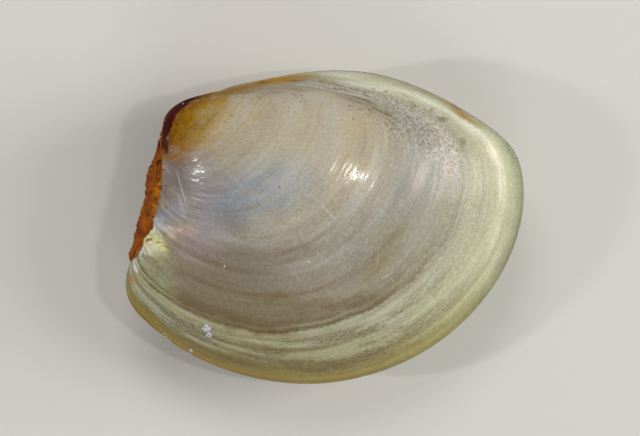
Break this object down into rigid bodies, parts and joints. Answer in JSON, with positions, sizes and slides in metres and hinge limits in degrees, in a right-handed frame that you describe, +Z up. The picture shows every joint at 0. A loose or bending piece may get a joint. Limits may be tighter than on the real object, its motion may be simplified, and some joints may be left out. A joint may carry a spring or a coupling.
{
  "type": "nut clam shell",
  "caption": "Closed nut clam shell: an oval, inflated pair of valves with curled beaks near the blunt back end and a rusty crust behind them, lying on its side.",
  "frame": {"origin": "middle of the resting footprint: centre of the bounding box in X and Y, at its lowest point, where the left valve touches the surface", "axes": "+X towards the long front end, along the shell's length; +Y towards the hinge side; +Z up through the right valve, across the shell's thickness"},
  "size_m": [0.02, 0.0156, 0.0089],
  "materials": {
    "right_valve": "glossy, thin pale-olive skin over pearly aragonite, with fine growth lines",
    "left_valve": "glossy, thin pale-olive skin over pearly aragonite, with fine growth lines",
    "escutcheon_crust": "matt, crumbly iron-rust crust"
  },
  "bodies": {
    "root": {"right_valve": "right_valve", "left_valve": "left_valve", "escutcheon_crust": "escutcheon_crust"}
  },
  "joints": []
}
